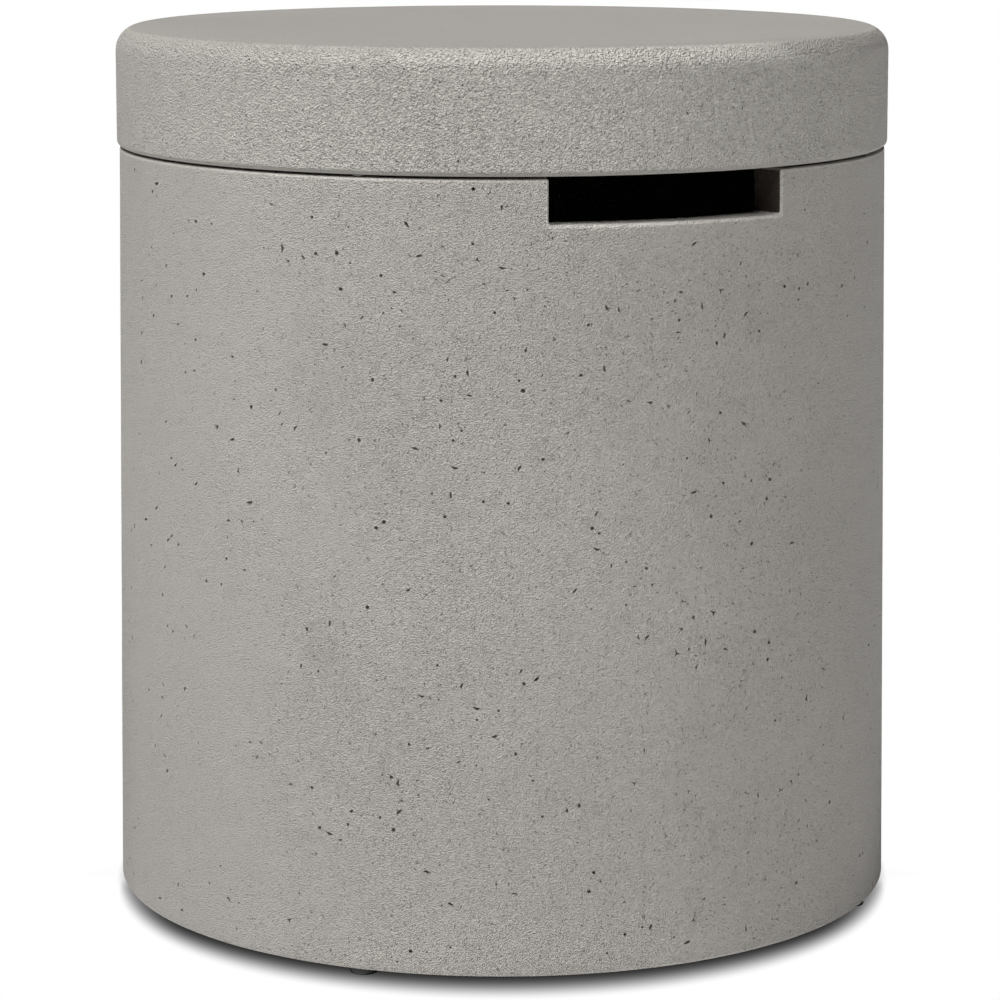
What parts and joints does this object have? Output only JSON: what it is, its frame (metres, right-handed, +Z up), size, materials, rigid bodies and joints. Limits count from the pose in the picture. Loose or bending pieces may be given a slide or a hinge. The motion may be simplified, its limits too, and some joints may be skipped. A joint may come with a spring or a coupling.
{
  "type": "tank cover table",
  "caption": "Round concrete side table that hides a portable gas cylinder: an open-bottomed shell with hose notches in its rim and a hollow lid that lifts off.",
  "frame": {"origin": "on the floor under the middle of the table, level with the undersides of the feet", "axes": "+Z up along the table's axis of revolution, -Y through the middle of the front notch, +X to the right seen from the front"},
  "size_m": [0.46, 0.46, 0.512],
  "materials": {
    "concrete": "matte",
    "rubber": "matte",
    "silicone": "satin"
  },
  "bodies": {
    "shell": {"shell": "concrete", "foot_1": "rubber", "foot_2": "rubber", "foot_3": "rubber", "foot_4": "rubber"},
    "lid": {"lid": "concrete", "lid_bumper_1": "silicone", "lid_bumper_2": "silicone", "lid_bumper_3": "silicone", "lid_bumper_4": "silicone"}
  },
  "joints": [
    {"name": "lid_lift", "type": "slide", "parent": "shell", "child": "lid", "axis": [0, 0, 1], "range_m": [0, 0.2]}
  ]
}
